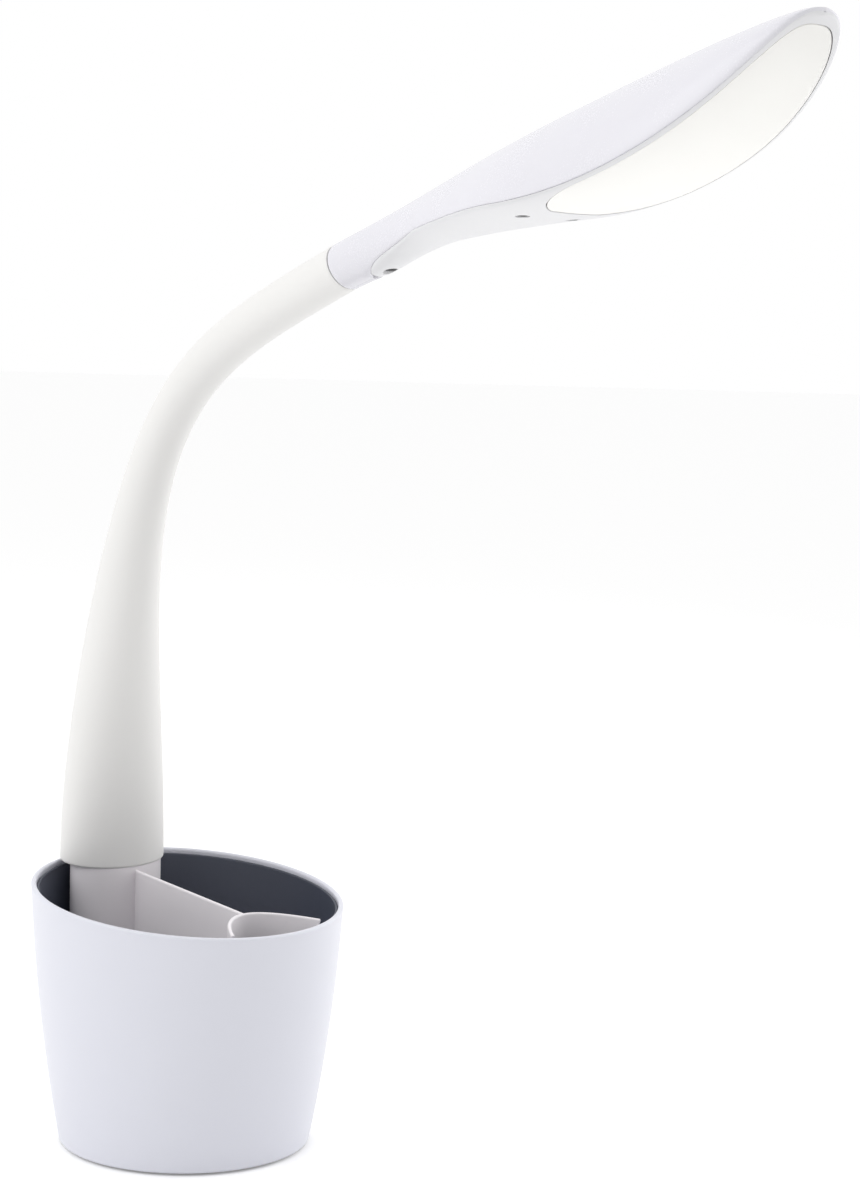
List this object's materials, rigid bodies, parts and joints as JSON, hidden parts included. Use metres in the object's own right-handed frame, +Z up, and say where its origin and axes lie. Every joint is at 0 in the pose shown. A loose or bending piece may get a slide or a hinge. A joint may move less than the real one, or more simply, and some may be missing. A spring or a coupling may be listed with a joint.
{
  "type": "desk lamp",
  "caption": "Desk lamp with a flexible neck and a leaf-shaped lit head, rising from the back of a divided cup that keeps pens and small tools.",
  "frame": {"origin": "centre of the cup's underside, on the desk", "axes": "+Z up, the head reaches towards -Y, +X to the right of someone who faces along +Y"},
  "size_m": [0.1443, 0.4142, 0.495],
  "materials": {
    "base_mat": "ribbed non-slip",
    "base_plate": "fine texture",
    "ballast": "zinc plated",
    "cup_shell": "satin",
    "compartment_liner": "fine texture",
    "divider_insert": "satin",
    "dc_jack": "plain",
    "control_board": "glass epoxy",
    "board_parts": "plain",
    "power_button": "satin",
    "neck_post": "satin",
    "neck_anchor": "plain",
    "neck_sleeve": "soft-touch silicone",
    "gooseneck": "bright",
    "lead": "smooth",
    "head_coupler": "machined",
    "head_top_shell": "high gloss",
    "head_lower_cover": "satin",
    "diffuser": "frosted",
    "led_board": "white solder mask",
    "leds": "yellow phosphor",
    "screws": "zinc plated"
  },
  "bodies": {
    "base": {"base_mat": "base_mat", "base_plate": "base_plate", "base_screws": "screws", "ballast": "ballast", "cup_shell": "cup_shell", "compartment_liner": "compartment_liner", "divider_insert": "divider_insert", "dc_jack": "dc_jack", "control_board": "control_board", "board_parts": "board_parts", "board_screws": "screws", "neck_post": "neck_post", "neck_anchor": "neck_anchor", "neck_sleeve_0": "neck_sleeve", "gooseneck_0": "gooseneck", "lead_0": "lead"},
    "button": {"power_button": "power_button"},
    "neck_1": {"neck_sleeve_1": "neck_sleeve", "gooseneck_1": "gooseneck", "lead_1": "lead"},
    "neck_2": {"neck_sleeve_2": "neck_sleeve", "gooseneck_2": "gooseneck", "lead_2": "lead"},
    "neck_3": {"neck_sleeve_3": "neck_sleeve", "gooseneck_3": "gooseneck", "lead_3": "lead"},
    "neck_4": {"neck_sleeve_4": "neck_sleeve", "gooseneck_4": "gooseneck", "lead_4": "lead"},
    "head": {"neck_sleeve_5": "neck_sleeve", "gooseneck_5": "gooseneck", "lead_5": "lead", "head_coupler": "head_coupler", "head_lead": "lead", "head_top_shell": "head_top_shell", "head_lower_cover": "head_lower_cover", "diffuser": "diffuser", "led_board": "led_board", "leds": "leds", "led_screws": "screws", "head_screws": "screws"}
  },
  "joints": [
    {"name": "neck_bend_1", "type": "hinge", "parent": "base", "child": "neck_1", "pos_m": [0, 0.04419, 0.27012], "axis": [1, 0, 0], "range_deg": [-20, 20]},
    {"name": "neck_side_1", "type": "hinge", "parent": "neck_1", "child": "neck_2", "pos_m": [0, 0.03061, 0.31136], "axis": [0, 0.9088, 0.4173], "range_deg": [-18, 18]},
    {"name": "neck_bend_2", "type": "hinge", "parent": "neck_2", "child": "neck_3", "pos_m": [0, 0.0083, 0.34556], "axis": [1, 0, 0], "range_deg": [-20, 20]},
    {"name": "neck_side_2", "type": "hinge", "parent": "neck_3", "child": "neck_4", "pos_m": [0, -0.02277, 0.37032], "axis": [0, 0.5106, 0.8598], "range_deg": [-18, 18]},
    {"name": "neck_bend_3", "type": "hinge", "parent": "neck_4", "child": "head", "pos_m": [0, -0.05667, 0.38704], "axis": [1, 0, 0], "range_deg": [-20, 20]},
    {"name": "power_button_press", "type": "slide", "parent": "base", "child": "button", "axis": [0, -1, 0], "range_m": [0, 0.001], "stiffness_N_per_m": 400, "springref_m": -0.001}
  ]
}
